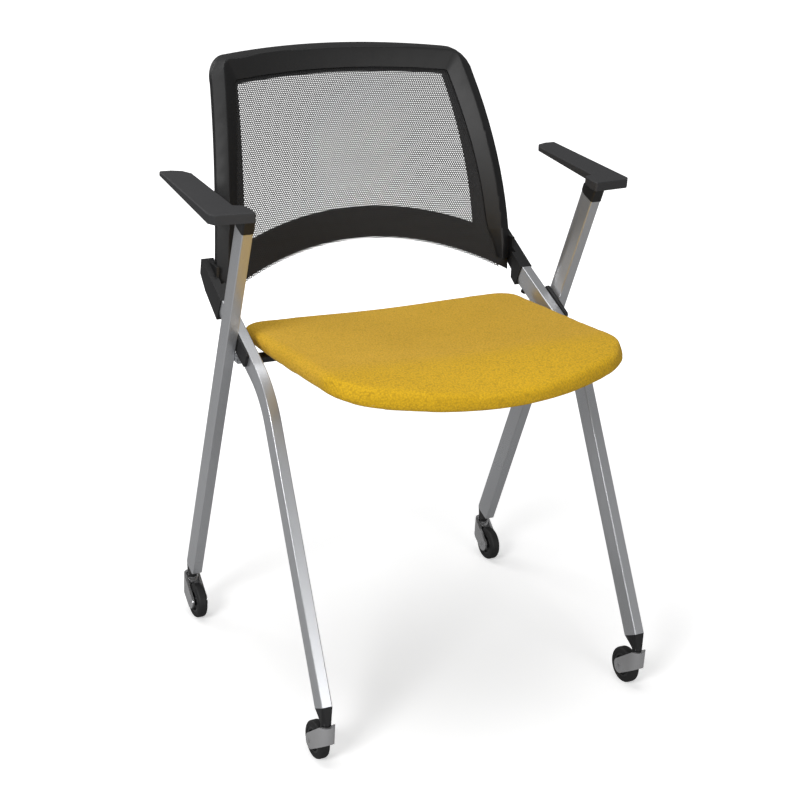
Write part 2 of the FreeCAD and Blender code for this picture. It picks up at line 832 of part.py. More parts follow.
def arm_pad():
    """An L in plan: a strip outside the tube and a short arm over it."""
    arm_rear = pad_front_y + pad_arm_depth
    low = pad_bottom_start() - 40
    plan = [V(pad_inner_x, pad_front_y - 0.5, low),
            V(pad_outer_x - 6, pad_front_y + 3.5, low),
            V(pad_outer_x, pad_front_y + 11, low),
            V(pad_outer_x - 4.5, pad_rear_y, low),
            V(pad_outer_x - 21, pad_rear_y - 0.5, low),
            V(pad_strip_inner_x + 8, pad_rear_y - 6, low),
            V(pad_strip_inner_x, pad_rear_y - 19, low),
            V(pad_strip_inner_x, arm_rear + 1, low),
            V(pad_inner_x + 3, arm_rear - 3, low),
            V(pad_inner_x - 0.5, arm_rear - 22, low)]
    blank = polygon_face(plan).extrude(V(0, 0, 120))
    body = blank.common(slab_between(pad_bottom_start(), pad_bottom_slope, pad_top_z, pad_top_slope))
    body = round_edges(body, 2.5, lambda edge: abs(edge.tangentAt(edge.FirstParameter).z) > 0.99)
    top = body.Faces[0]
    for face in body.Faces:
        if face.Surface.TypeId == "Part::GeomPlane" and face.normalAt(0, 0).z > 0.9:
            top = face
    body = body.makeFillet(pad_edge_round, top.Edges)
    return body.cut(arm_screw_holes())


def arm_screw_places():
    middle = rear_leg_top_y() + tube_depth * 0.42
    return [(pad_inner_x + 7.5, middle)]


def rear_leg_top_y():
    return rear_foot_y - rear_leg_length * math.sin(math.radians(rear_leg_lean))


def arm_screw_holes():
    """Blind holes under the pad for the screws that hold it."""
    return [rod_z_axis(x, y, arm_screw_diameter + 2 * press_gap,
                       pad_bottom_start() - 40, pad_level(y, pad_top_z, pad_top_slope) - 4)
            for x, y in arm_screw_places()]


def arm_bracket():
    """Black nylon cap over the tube's square end, with a plug inside the tube."""
    cap = rear_tube_core(bracket_skin, rear_leg_length, rear_leg_length + 60)
    below_pad = slab_between(pad_bottom_start() - 200, pad_bottom_slope,
                             pad_bottom_start(), pad_bottom_slope)
    cap = cap.common(below_pad)
    plug = rear_tube_core(-tube_wall - press_gap, rear_leg_length - bracket_plug, rear_leg_length + 1)
    body = cap.fuse(plug).removeSplitter()
    x, y = arm_screw_places()[0]
    hole = rod_z_axis(x, y, arm_screw_diameter + 2 * press_gap, 0, 2 * pad_top_z)
    pocket = rod_z_axis(x, y, arm_screw_head + 1, 0, arm_screw_seat_z())
    return body.cut([hole, pocket])


def arm_screw_seat_z():
    y = arm_screw_places()[0][1]
    return pad_level(y, pad_bottom_start(), pad_bottom_slope) - 5


def arm_screws():
    screws = []
    for _, side in SIDES:
        for x, y in arm_screw_places():
            reach = pad_level(y, pad_top_z, pad_top_slope) - 5 - arm_screw_seat_z()
            screws.append(screw_up(side * x, y, arm_screw_seat_z(), arm_screw_diameter, arm_screw_head,
                                   arm_screw_head_height, reach))
    return screws


# Back

def back_y(x, z):
    """Front surface of the back, where the bead would touch it."""
    high = z - back_upright_z
    recline = back_curve_radius - math.sqrt(back_curve_radius ** 2 - high ** 2)
    return back_front_y + recline + back_bow * (1 - (x / back_bow_half_width) ** 2)


def back_normal(x, z):
    """Unit vector that points behind the back."""
    high = z - back_upright_z
    rise = high / math.sqrt(back_curve_radius ** 2 - high ** 2)
    result = V(2 * back_bow * x / back_bow_half_width ** 2, 1, -rise)
    return result.normalize()


def back_point(x, z, depth):
    """The point straight behind the front surface at a depth square to it."""
    return V(x, back_y(x, z) + depth / back_normal(x, z).y, z)


def side_half_width(z):
    """Half width of the back's outline up its side, a wide arc."""
    span = back_corner_z - back_low_z
    share = (z - back_low_z) / span
    chord = back_low_half_width + (back_corner_half_width - back_low_half_width) * share
    return chord + (z - back_low_z) * (back_corner_z - z) / (2 * back_side_radius)


def eased(value, start, finish):
    """0 before the start and 1 past the finish, with a soft step between."""
    share = min(max((value - start) / (finish - start), 0.0), 1.0)
    return share * share * (3 - 2 * share)


def between(share, first, second):
    return first + (second - first) * share


class Rim:
    """A line that follows the outline of the back in the front view, inward of it."""

    def __init__(self, side_inset, top_inset, radius):
        self.side_inset = side_inset
        self.top_inset = top_inset
        self.top_x = self.side_x(back_corner_z) - radius
        self.corner_z = self.top_z(self.top_x) - radius

    def side_x(self, z):
        return side_half_width(z) - self.side_inset(z)

    def top_z(self, x):
        return back_top_z - back_top_fall * (x / back_top_half_width) ** 2 - self.top_inset

    def side(self, share):
        z = between(share, back_low_z, self.corner_z)
        return self.side_x(z), z

    def bend(self, share):
        turn = math.pi / 2 * share
        x = between(math.cos(turn), self.top_x, self.side_x(self.corner_z))
        return x, between(math.sin(turn), self.corner_z, self.top_z(self.top_x))

    def top(self, share):
        x = self.top_x * (1 - 2 * share)
        return x, self.top_z(x)

    def edges(self, low_z):
        """Its curve in the front view, from a height on one side round to the other."""
        foot = (self.side_x(low_z), low_z)
        middle_z = between(0.5, low_z, self.corner_z)
        middle = (self.side_x(middle_z), middle_z)
        curves = [self.arc(self.bend(1), self.top(0.5), self.top(1))]
        for _, side in SIDES:
            curves.append(self.arc(foot, middle, self.bend(0), side))
            curves.append(self.arc(self.bend(0), self.bend(0.5), self.bend(1), side))
        return curves

    def arc(self, first, middle, last, side=1):
        points = [V(side * x, 0, z) for x, z in (first, middle, last)]
        return Part.Arc(*points).toShape()

    def blank(self, low_z):
        """The prism inside the line, closed by a straight edge at its lower end."""
        half = self.side_x(low_z)
        return front_view_prism(self.edges(low_z) + [Part.makeLine(V(-half, 0, low_z), V(half, 0, low_z))])


def level_rim(inset):
    """A rim at the same inset all the way round."""
    return Rim(lambda z: inset, inset, back_corner_radius - inset)


def bezel_width(z):
    low = between(eased(z, back_low_z, bezel_taper_z), bezel_width_low, bezel_width_side)
    return low + (bezel_width_high - bezel_width_side) * eased(z, bezel_taper_z, back_top_z)


def ring_width(z):
    return between((z - back_low_z) / (back_corner_z - back_low_z), ring_width_low, ring_width_high)


def bead_rim(offset):
    return Rim(lambda z: bead_inset + offset, bead_inset_top + offset, bead_corner_radius - offset)


def bezel_lines():
    """Outer edge, bead and inner lip of the bezel, then its flat rear face."""
    outer = level_rim(0.0)
    inner = Rim(bezel_width, bezel_width_top, bezel_inner_radius)
    half = bead_flat / 2
    return [(outer, bezel_depth), (outer, bezel_edge_depth), (bead_rim(-half), bead_depth),
            (bead_rim(half), bead_depth), (inner, bezel_inner_depth), (inner, bezel_depth)]


def back_bezel():
    """A solid whose section follows the outline from one lower end to the other."""
    lines = bezel_lines()
    places = []
    for walk, count in ((Rim.side, 12), (Rim.bend, 6), (Rim.top, 12)):
        places += [(walk, step / count, 1) for step in range(count)]
    for walk, count in ((Rim.bend, 6), (Rim.side, 12)):
        places += [(walk, 1 - step / count, -1) for step in range(count)]
    places.append((Rim.side, 0.0, -1))
    wires = []
    for walk, share, side in places:
        points = []
        for rim, depth in lines:
            x, z = walk(rim, share)
            points.append(back_point(side * x, z, depth))
        wires.append(Part.makePolygon(points + [points[0]]))
    return Part.makeLoft(wires, True, True)


def back_slab(front_depth, rear_depth, low_z, high_z, half_width):
    """A piece of the curved back between two depths, from slices across it."""
    wires = []
    for index in range(7):
        x = -half_width + 2 * half_width * index / 6
        points_front = [back_point(x, low_z + (high_z - low_z) * k / 2, front_depth) for k in range(3)]
        points_rear = [back_point(x, low_z + (high_z - low_z) * k / 2, rear_depth) for k in range(3)]
        for point in points_front + points_rear:
            point.x = x
        edges = [Part.Arc(*points_front).toShape(),
                 Part.makeLine(points_front[2], points_rear[2]),
                 Part.Arc(*points_rear[::-1]).toShape(),
                 Part.makeLine(points_rear[0], points_front[0])]
        wires.append(Part.Wire(edges))
    return Part.makeLoft(wires, True, False)


def front_view_prism(wire_edges):
    """A prism along Y from edges in the front view."""
    face = Part.Face(Part.Wire(Part.__sortEdges__(wire_edges)))
    return face.extrude(V(0, 600, 0))


def arch_edge(middle_z, fall, half):
    return Part.Arc(V(-half, 0, middle_z - fall), V(0, 0, middle_z), V(half, 0, middle_z - fall)).toShape()


def arch_blank(rim, low_edge_z):
    """The prism inside a rim, closed below by an arch like the cross bar's lower edge."""
    half = rim.side_x(back_low_z)
    fall = bar_low_fall * (half / bar_half_width) ** 2
    end_z = low_edge_z - fall
    return front_view_prism(rim.edges(end_z) + [arch_edge(low_edge_z, fall, rim.side_x(end_z))])


def arch_band():
    """The cross bar's front view, with its ends wider than the window."""
    half = back_low_half_width
    scale = (half / bar_half_width) ** 2
    low_edge_z = bar_top_z - bar_height
    top_end = bar_top_z - bar_top_fall * scale
    low_end = low_edge_z - bar_low_fall * scale
    return front_view_prism([arch_edge(bar_top_z, bar_top_fall * scale, half),
                             arch_edge(low_edge_z, bar_low_fall * scale, half),
                             Part.makeLine(V(half, 0, top_end), V(half, 0, low_end)),
                             Part.makeLine(V(-half, 0, top_end), V(-half, 0, low_end))])


def window_rim(gap):
    """The inner edge of the ring, or a line a gap inside it."""
    return Rim(lambda z: ring_width(z) + gap, ring_width_top + gap, window_corner_radius)


def ring_slab(front_depth, rear_depth):
    return back_slab(front_depth, rear_depth, back_low_z - 60, back_top_z + 10, back_low_half_width + 2)


def back_ring():
    """The stiff ring behind the mesh, open at its lower end."""
    blank = arch_blank(level_rim(ring_edge_inset), bar_top_z - bar_height)
    ring = ring_slab(ring_depth, ring_depth + ring_thickness).common(blank)
    return ring.cut(window_rim(0).blank(back_low_z - 60))


def back_frame(ring):
    """The ring with its screw holes."""
    return ring.cut(bar_screw_holes() + tab_screw_holes())


def front_box(x_low, x_high, z_low, z_high):
    return Part.makeBox(x_high - x_low, 600, z_high - z_low, V(x_low, 0, z_low))


def back_bar():
    """The arched bar between the ring's legs, with a tab behind each leg."""
    rear = ring_depth + ring_thickness
    bar = ring_slab(ring_depth, rear).common(arch_band())
    bar = bar.common(window_rim(face_gap).blank(back_low_z - 60))
    tab_front = rear + face_gap
    tab = ring_slab(tab_front, tab_front + bar_tab_thickness)
    tab = tab.common(front_box(bar_tab_inner_x, bar_tab_outer_x, bar_tab_low_z, bar_tab_high_z))
    root = ring_slab(rear - bar_tab_thickness, tab_front + bar_tab_thickness / 2)
    root = root.common(front_box(bar_tab_inner_x, bar_tab_inner_x + bar_tab_root,
                                 bar_tab_low_z, bar_tab_high_z))
    pieces = [mirrored(piece, side) for piece in (tab, root) for _, side in SIDES]
    return bar.fuse(pieces).removeSplitter().cut(bar_screw_holes())


def back_mesh():
    """The mesh panel, which ends a little below the cross bar."""
    blank = arch_blank(level_rim(mesh_inset), bar_top_z - bar_height - mesh_fringe)
    return ring_slab(mesh_depth, mesh_depth + mesh_thickness).common(blank)


class SquareScrew:
    """A screw driven backward, square to the back."""

    def __init__(self, x, z, seat_depth, length):
        self.normal = back_normal(x, z)
        self.seat = back_point(x, z, seat_depth)
        self.length = length

    def body(self):
        shank = Part.makeCylinder(bar_screw_diameter / 2, self.length, self.seat, self.normal)
        head = Part.makeCylinder(bar_screw_head / 2, bar_screw_head_height,
                                 self.seat - self.normal * bar_screw_head_height, self.normal)
        return shank.fuse(head).removeSplitter()

    def hole(self):
        """Its room, which opens past the head."""
        run = 2 * bar_screw_head_height
        start = self.seat - self.normal * run
        bore = Part.makeCylinder(bar_screw_diameter / 2 + press_gap, self.length + run, start, self.normal)
        recess = Part.makeCylinder(bar_screw_head / 2 + press_gap, run, start, self.normal)
        return bore.fuse(recess)


def bar_screw_set():
    """Flush screws through the ring's legs into the bar's tabs, and one in the bar."""
    seat = ring_depth + bar_screw_head_height + press_gap
    through = ring_thickness + bar_tab_thickness / 2
    return [SquareScrew(-bar_screw_x, bar_screw_z, seat, through),
            SquareScrew(bar_screw_x, bar_screw_z, seat, through),
            SquareScrew(0, bar_middle_screw_z, seat, ring_thickness / 2)]


def tab_screw_places():
    """Where the screws from behind go through the brackets' tabs into the ring's legs."""
    middle_z = (bracket_tab_low_z + bracket_tab_high_z) / 2
    return [V(side * tab_screw_x, bracket_tab_rear_y + press_gap, middle_z + end * tab_screw_pitch)
            for _, side in SIDES for end in (-0.5, 0.5)]


def tab_screw(place):
    shank = Part.makeCylinder(bar_screw_diameter / 2, tab_screw_length, place, V(0, -1, 0))
    head = Part.makeCylinder(bar_screw_head / 2, bar_screw_head_height, place, V(0, 1, 0))
    return shank.fuse(head).removeSplitter()


def bar_screw_holes():
    return [screw.hole() for screw in bar_screw_set()]


def tab_screw_holes():
    lead = V(0, bar_screw_head_height, 0)
    return [Part.makeCylinder(bar_screw_diameter / 2 + press_gap, tab_screw_length + 2 * bar_screw_head_height,
                              place + lead, V(0, -1, 0)) for place in tab_screw_places()]


# Brackets between the tube ends and the back

def post_end():
    """Side-view place of the upper run's end, on its top face."""
    y = front_foot_y + front_leg_length * math.cos(math.radians(front_leg_slope))
    y = y + back_post_length * math.cos(math.radians(back_post_slope))
    return y, front_top_z(y)


def bracket_profile():
    """Side view of the bracket in the chair's own y and z."""
    drop = math.radians(back_post_slope)
    rise = math.radians(bracket_slope)
    start_y, start_z = post_end()
    start_y = start_y + face_gap * math.cos(drop)
    start_z = start_z + face_gap * math.sin(drop)
    low = (start_y + tube_depth * math.sin(drop), start_z - tube_depth * math.cos(drop))
    rear = (start_y + bracket_top_length * math.cos(rise), start_z + bracket_top_length * math.sin(rise))
    return [(start_y, start_z), rear, (rear[0] + 3, rear[1] - bracket_rear_height),
            (bracket_under_y, bracket_under_z), low]


def back_room(gap):
    """The room that the back takes up, a little larger all round."""
    low_z = back_low_z - 60
    slab = back_slab(-2 * bead_flat, ring_depth + ring_thickness + gap, low_z, back_top_z,
                     back_low_half_width + 10)
    return slab.common(level_rim(-gap).blank(low_z))


def back_bracket():
    """A black arm from the tube's end to the lower corner of the back."""
    start_y, _ = post_end()
    middle_x = front_foot_x - (start_y - front_foot_y) * math.tan(math.radians(front_leg_toe_in))
    half = tube_width / 2 + bracket_side
    body = side_prism(bracket_profile(), middle_x - half, middle_x + half)
    tab = Part.makeBox(middle_x - bracket_tab_inner_x, bracket_tab_rear_y - back_front_y,
                       bracket_tab_high_z - bracket_tab_low_z,
                       V(bracket_tab_inner_x, back_front_y, bracket_tab_low_z))
    body = body.fuse(tab).cut(back_room(face_gap))
    body = max(body.Solids, key=lambda solid: solid.Volume)
    spigot = Part.Face(tube_wire(-tube_wall - press_gap, -bracket_tongue))
    spigot = post_piece(spigot.extrude(V(0, 0, bracket_tongue + 2)))
    body = body.fuse(spigot).removeSplitter()
    body = body.cut([bracket_screw_shape(press_gap)] + tab_screw_holes())
    return max(body.Solids, key=lambda solid: solid.Volume)


def bracket_screw_shape(gap):
    """The screw up through the tube's underside into the bracket's spigot."""
    radius = bracket_screw_diameter / 2 + gap
    shank = Part.makeCylinder(radius, tube_depth * 0.6, V(0, tube_depth, -bracket_screw_run), V(0, -1, 0))
    return post_piece(shank)


def bracket_screws():
    head = post_piece(Part.makeCylinder(bracket_screw_head / 2, bracket_screw_head_height,
                                        V(0, tube_depth, -bracket_screw_run), V(0, 1, 0)))
    body = bracket_screw_shape(0).fuse(head).removeSplitter()
    return [mirrored(body, side) for _, side in SIDES]


# Assembly

def build():
    """All nodes by name, each a list of solids."""
    nodes = {}
    rear_tube = rear_leg()
    front_tube = front_leg()
    spacer = leg_spacer()
    pad = arm_pad()
    bracket = arm_bracket()
    rear_plug = leg_plug(place_rear, rear_stem_y, rear_foot_x)
    front_plug = leg_plug(place_front, front_stem_y, front_foot_x)
    ring = back_ring()
    post_bracket = back_bracket()
    upper = hinge_half(True)
    lower = hinge_half(False)
    bush = hinge_bush()
    rest = seat_rest()
    bumper = rest_bumper()
    for name, side in SIDES:
        nodes["rear_leg_" + name] = [mirrored(rear_tube, side)]
        nodes["front_leg_" + name] = [mirrored(front_tube, side)]
        nodes["leg_spacer_" + name] = [mirrored(spacer, side)]
        nodes["arm_pad_" + name] = [mirrored(pad, side)]
        nodes["arm_bracket_" + name] = [mirrored(bracket, side)]
        nodes["leg_plug_rear_" + name] = [mirrored(rear_plug, side)]
        nodes["leg_plug_front_" + name] = [mirrored(front_plug, side)]
        nodes["back_bracket_" + name] = [mirrored(post_bracket, side)]
        nodes["seat_hinge_" + name] = [seat_local(mirrored(upper, side))]
        nodes["hinge_cap_" + name] = [seat_local(mirrored(lower, side))]
    nodes["hinge_bushes"] = [seat_local(mirrored(bush, side)) for _, side in SIDES]
    nodes["seat_rests"] = [seat_local(mirrored(rest, side)) for _, side in SIDES]
    nodes["rest_bumpers"] = [seat_local(mirrored(bumper, side)) for _, side in SIDES]
    inner_x, outer_x = front_tube_span_x()
    nodes["crossing_lugs"] = [mirrored(crossing_lug(), side) for _, side in SIDES]
    nodes["tie_rod"] = [tie_rod(outer_x + tube_wall)]
    nodes["cross_tube"] = [cross_tube(inner_x)]
    nodes["seat_cushion"] = [seat_local(seat_cushion())]
    nodes["seat_board"] = [seat_local(seat_board())]
    nodes["seat_shell"] = [seat_local(seat_shell())]
    nodes["seat_screws"] = [seat_local(screw) for screw in seat_screws()]
    nodes["hinge_screws"] = [seat_local(screw) for screw in hinge_screws()]
    nodes["arm_screws"] = arm_screws()
    nodes["back_frame"] = [back_frame(ring)]
    nodes["back_bezel"] = [back_bezel()]
    nodes["back_crossbar"] = [back_bar()]
    nodes["back_mesh"] = [back_mesh()]
    nodes["bar_screws"] = [screw.body() for screw in bar_screw_set()]
    nodes["tab_screws"] = [tab_screw(place) for place in tab_screw_places()]
    nodes["bracket_screws"] = bracket_screws()
    for row, foot_x, stem_y, direction in (("front", front_foot_x, front_stem_y, 1),
                                           ("rear", rear_foot_x, rear_stem_y, -1)):
        for name, side in SIDES:
            caster = Caster(row + "_" + name, side * foot_x, stem_y, direction)
            nodes["caster_fork_" + caster.name] = [caster.place(fork())]
            nodes["caster_stem_" + caster.name] = [caster.place(caster_stem())]
            nodes["caster_axle_" + caster.name] = [caster.place(caster_axle())]
            nodes["caster_hub_" + caster.name] = [caster.place(caster_hub())]
            nodes["caster_tyre_" + caster.name] = [caster.place(caster_tyre())]
    return nodes


def main():
    nodes = build()
    boxes = [shape.optimalBoundingBox(False) for shapes in nodes.values() for shape in shapes]
    low = min(box.YMin for box in boxes)
    high = max(box.YMax for box in boxes)
    shift = -(low + high) / 2
    os.makedirs("parts", exist_ok=True)
    for name, shapes in nodes.items():
        placed = [moved(shape, 0, shift, 0) for shape in shapes]
        whole = placed[0]
        if len(placed) > 1:
            whole = Part.makeCompound(placed)
        whole.exportStep("parts/" + name + ".step")
        print(name, len(whole.Solids), "solids", round(whole.Volume), "mm3", whole.isValid())
    print("moved along Y by", round(shift, 3))


main()
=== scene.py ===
import json
import logging
import math
from dataclasses import dataclass, field
from enum import Enum

import bpy
from mathutils import Matrix, Vector

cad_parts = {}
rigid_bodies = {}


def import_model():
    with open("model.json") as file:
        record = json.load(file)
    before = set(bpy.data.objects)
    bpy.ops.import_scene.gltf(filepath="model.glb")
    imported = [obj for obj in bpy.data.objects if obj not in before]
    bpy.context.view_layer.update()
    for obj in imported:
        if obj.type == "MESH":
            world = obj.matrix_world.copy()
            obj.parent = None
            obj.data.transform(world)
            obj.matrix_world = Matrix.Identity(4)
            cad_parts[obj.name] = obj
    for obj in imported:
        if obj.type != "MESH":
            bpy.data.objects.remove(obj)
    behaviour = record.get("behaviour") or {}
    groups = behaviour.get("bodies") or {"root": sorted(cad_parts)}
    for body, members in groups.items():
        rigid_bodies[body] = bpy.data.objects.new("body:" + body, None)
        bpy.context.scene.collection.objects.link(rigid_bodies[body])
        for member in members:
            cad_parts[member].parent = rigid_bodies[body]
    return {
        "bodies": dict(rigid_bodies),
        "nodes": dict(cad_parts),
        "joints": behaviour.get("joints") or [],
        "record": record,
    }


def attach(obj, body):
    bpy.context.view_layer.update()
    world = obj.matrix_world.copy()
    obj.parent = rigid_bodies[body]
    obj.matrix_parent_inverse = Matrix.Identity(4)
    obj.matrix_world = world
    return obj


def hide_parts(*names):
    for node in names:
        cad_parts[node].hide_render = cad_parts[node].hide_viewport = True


# Looks of a nesting chair, in metres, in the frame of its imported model:
# +Z up, the sitter faces -Y, floor at z = 0.

LOG = logging.getLogger("chair")
MM = 0.001
Colour = tuple[float, float, float]
Point = tuple[float, float, float]
MERGE = 0.02 * MM
HINGE_Y = 74.5 * MM


class Wire:
    """A shader socket that takes part in Python expressions."""

    def __init__(self, tree: "Tree", socket: bpy.types.NodeSocket) -> None:
        """Keeps the tree that owns the socket, and the socket."""
        self.tree = tree
        self.socket = socket

    def __add__(self, other: "Wire | float") -> "Wire":
        """Sum."""
        return self.tree.math("ADD", self, other)

    def __radd__(self, other: float) -> "Wire":
        """Sum with the number first."""
        return self.tree.math("ADD", other, self)

    def __sub__(self, other: "Wire | float") -> "Wire":
        """Difference."""
        return self.tree.math("SUBTRACT", self, other)

    def __rsub__(self, other: float) -> "Wire":
        """Difference with the number first."""
        return self.tree.math("SUBTRACT", other, self)

    def __mul__(self, other: "Wire | float") -> "Wire":
        """Product."""
        return self.tree.math("MULTIPLY", self, other)

    def __rmul__(self, other: float) -> "Wire":
        """Product with the number first."""
        return self.tree.math("MULTIPLY", other, self)

    def __truediv__(self, other: "Wire | float") -> "Wire":
        """Quotient."""
        return self.tree.math("DIVIDE", self, other)

    def __mod__(self, other: float) -> "Wire":
        """Remainder, never negative."""
        return self.tree.math("FLOORED_MODULO", self, other)

    def __lt__(self, other: "Wire | float") -> "Wire":
        """1 where this is less than the other, 0 elsewhere."""
        return self.tree.math("LESS_THAN", self, other)

    def floor(self) -> "Wire":
        """Whole part."""
        return self.tree.math("FLOOR", self)

    def fraction(self) -> "Wire":
        """Part after the point."""
        return self.tree.math("FRACT", self)

    def sine(self) -> "Wire":
        """Sine of an angle in radians."""
        return self.tree.math("SINE", self)


class Tree:
    """The node tree of one material or world, with its shader at its end."""

    def __init__(self, owner: bpy.types.Material | bpy.types.World) -> None:
        """Turns on the nodes of a new material or world and finds its shader."""
        self.owner = owner
        owner.use_nodes = True
        self.nodes = owner.node_tree.nodes
        self.shader = next(n for n in self.nodes if n.type in ("BSDF_PRINCIPLED", "BACKGROUND"))

    def plug(self, socket: bpy.types.NodeSocket, value: object) -> None:
        """Sets a socket to a number or colour, or links a wire to it.

        Args:
            socket: The input socket.
            value: A Wire, a number, or a colour or vector as a tuple.
        """
        if isinstance(value, Wire):
            self.owner.node_tree.links.new(value.socket, socket)
        elif isinstance(value, tuple) and len(value) == 3 and len(socket.default_value) == 4:
            socket.default_value = (*value, 1.0)
        else:
            socket.default_value = value

    def add(self, kind: str, settings: dict[str, object], inputs: dict[str | int, object],
            output: str | int = 0) -> Wire:
        """Adds a node.

        Args:
            kind: The node's type name.
            settings: Properties that are set first.
            inputs: Values or wires by socket name or number.
            output: The output wanted.

        Returns:
            The wanted output as a Wire.
        """
        node = self.nodes.new(kind)
        for key, value in settings.items():
            setattr(node, key, value)
        for key, value in inputs.items():
            self.plug(node.inputs[key], value)
        return Wire(self, node.outputs[output])

    def math(self, operation: str, first: object, second: object = 0.0) -> Wire:
        """One Math node."""
        return self.add("ShaderNodeMath", {"operation": operation}, {0: first, 1: second})

    def place(self) -> Wire:
        """Object coordinates, which are metres in the chair's frame."""
        return self.add("ShaderNodeTexCoord", {}, {}, "Object")

    def parts(self, vector: Wire) -> tuple[Wire, Wire, Wire]:
        """The X, Y and Z of a vector."""
        node = self.add("ShaderNodeSeparateXYZ", {}, {0: vector}).socket.node
        return tuple(Wire(self, output) for output in node.outputs)

    def noise(self, scale: float, detail: float = 2.0, where: Wire | None = None) -> Wire:
        """Noise from 0 to 1 at a scale in cells per metre."""
        return self.add("ShaderNodeTexNoise", {},
                        {"Vector": where or self.place(), "Scale": scale, "Detail": detail}, "Fac")

    def cells(self, scale: float, smoothness: float) -> Wire:
        """Distance to the nearest cell centre, for knots."""
        return self.add("ShaderNodeTexVoronoi", {"feature": "SMOOTH_F1"},
                        {"Vector": self.place(), "Scale": scale, "Smoothness": smoothness}, "Distance")

    def blend(self, share: Wire, first: Wire | Colour, second: Wire | Colour) -> Wire:
        """A colour between two colours, at a share of the second."""
        return self.add("ShaderNodeMix", {"data_type": "RGBA"}, {0: share, 6: first, 7: second}, 2)

    def bump(self, height: Wire, distance: float, strength: float = 1.0) -> None:
        """Feeds a height in units of distance to the shader's normal."""
        wire = self.add("ShaderNodeBump", {}, {"Height": height, "Distance": distance, "Strength": strength})
        self.plug(self.shader.inputs["Normal"], wire)

    def feed(self, **values: object) -> None:
        """Sets or links the shader's own sockets, with _ for a space in a name."""
        for key, value in values.items():
            self.plug(self.shader.inputs[key.replace("_", " ")], value)


@dataclass(frozen=True)
class Finish:
    """A surface finish with its base colour and sheen."""

    slot: str
    colour: Colour
    rough: float = 0.5
    metal: float = 0.0
    grain: float = 1200.0
    depth: float = 0.00004
    tone: float = 0.12
    slow_scale: float = 14.0
    rough_spread: float = 0.1

    def material(self) -> bpy.types.Material:
        """Builds the finish, or returns it if it was built before."""
        found = bpy.data.materials.get(self.name())
        if found is not None:
            return found
        tree = Tree(bpy.data.materials.new(self.name()))
        tree.feed(Metallic=self.metal)
        self.surface(tree)
        return tree.owner

    def name(self) -> str:
        """Name of its material."""
        return f"{self.slot}_finish"

    def shade(self, factor: float) -> Colour:
        """Its colour made darker or lighter."""
        return tuple(min(part * factor, 1.0) for part in self.colour)

    def surface(self, tree: Tree) -> None:
        """Fine grain with a slow change of tone."""
        grain = tree.noise(self.grain, 3.0)
        slow = tree.noise(self.slow_scale)
        tree.feed(Base_Color=tree.blend(slow, self.shade(1 - self.tone), self.shade(1 + self.tone)))
        tree.feed(Roughness=self.rough - self.rough_spread / 2 + self.rough_spread * grain)
        tree.bump(grain, self.depth)


@dataclass(frozen=True)
class TubePaint(Finish):
    """Silver powder coat: a metal flake under a satin surface."""

    flake_scale: float = 4200.0
    peel_scale: float = 420.0
    peel_depth: float = 0.00005
    flake_share: float = 0.7

    def surface(self, tree: Tree) -> None:
        """Flakes lighten the colour, and a soft orange peel breaks the gloss."""
        flake = tree.noise(self.flake_scale, 1.0)
        peel = tree.noise(self.peel_scale)
        slow = tree.noise(9.0)
        sparkle = flake * self.flake_share + slow * (1 - self.flake_share)
        tree.feed(Base_Color=tree.blend(sparkle, self.shade(0.9), self.shade(1.1)))
        tree.feed(Roughness=self.rough - 0.04 + 0.08 * flake + 0.04 * slow)
        tree.bump(peel * self.flake_share + flake * (1 - self.flake_share), self.peel_depth, 0.6)


@dataclass(frozen=True)
class SeatCloth(Finish):
    """Tight crepe cloth with small knots, paler on the flat than on the front edge: the paler, greyer flat
    is a painted sheen from the lamps above.
    """

    # Painted sheen: lifts every channel of the flat top's colour, which pales it.
    sheen_paling: float = 0.03
    knot_scale: float = 430.0
    knot_smoothness: float = 0.6
    fibre_scale: float = 2600.0
    # The painted sheen of the flat top starts here and comes in over front_width.
    front_end: float = -0.186
    front_width: float = 0.03
    knot_depth: float = 0.0006

    def surface(self, tree: Tree) -> None:
        """Knots about 2.3 mm apart, darker between, slow wear in the tone, and a painted sheen on the flat
        top.
        """
        knots = tree.cells(self.knot_scale, self.knot_smoothness)
        fibre = tree.noise(self.fibre_scale, 4.0)
        slow = tree.noise(11.0, 3.0)
        tone = knots * 0.9 + fibre * 0.35 + (slow - 0.5) * 0.35
        reach = (tree.parts(tree.place())[1] - self.front_end) / self.front_width
        # Share of painted sheen: 0 on the front edge, 1 on the flat top.
        back = tree.math("MAXIMUM", tree.math("MINIMUM", reach, 1.0), 0.0)
        pebbles = tree.blend(tone, self.shade(1.16), self.shade(0.62))
        # Painted sheen colour of the flat top: paler and greyer than the front edge.
        painted_sheen_colour = tree.blend(tone, tuple(part + self.sheen_paling for part in self.shade(1.02)), self.shade(0.66))
        tree.feed(Base_Color=tree.blend(back, pebbles, painted_sheen_colour))
        tree.feed(Roughness=self.rough + 0.12 * fibre, Sheen_Weight=0.06, Sheen_Roughness=0.4)
        tree.bump(1.0 - knots + fibre * 0.3, self.knot_depth, 0.9)


@dataclass(frozen=True)
class BackNet(Finish):
    """Knitted net with staggered holes, drawn on the panel's own map in metres."""

    pitch_across: float = 2.9 * MM
    pitch_up: float = 2.7 * MM
    hole_across: float = 0.27
    hole_up: float = 0.34

    def surface(self, tree: Tree) -> None:
        """Cuts the holes with alpha and rounds the threads between them."""
        uv = tree.add("ShaderNodeUVMap", {"uv_map": "weave"}, {})
        run, height, _ = tree.parts(uv)
        up = height / self.pitch_up
        stagger = (up.floor() % 2.0) * 0.5
        across = (run / self.pitch_across + stagger).fraction() - 0.5
        high = up.fraction() - 0.5
        far = across * across / self.hole_across ** 2 + high * high / self.hole_up ** 2
        tree.feed(Base_Color=tree.blend(tree.noise(900.0), self.shade(0.8), self.shade(1.4)))
        tree.feed(Roughness=self.rough + 0.1 * tree.noise(1500.0), Alpha=1.0 - (far < 1.0))
        tree.bump(far, 0.0002, 0.5)


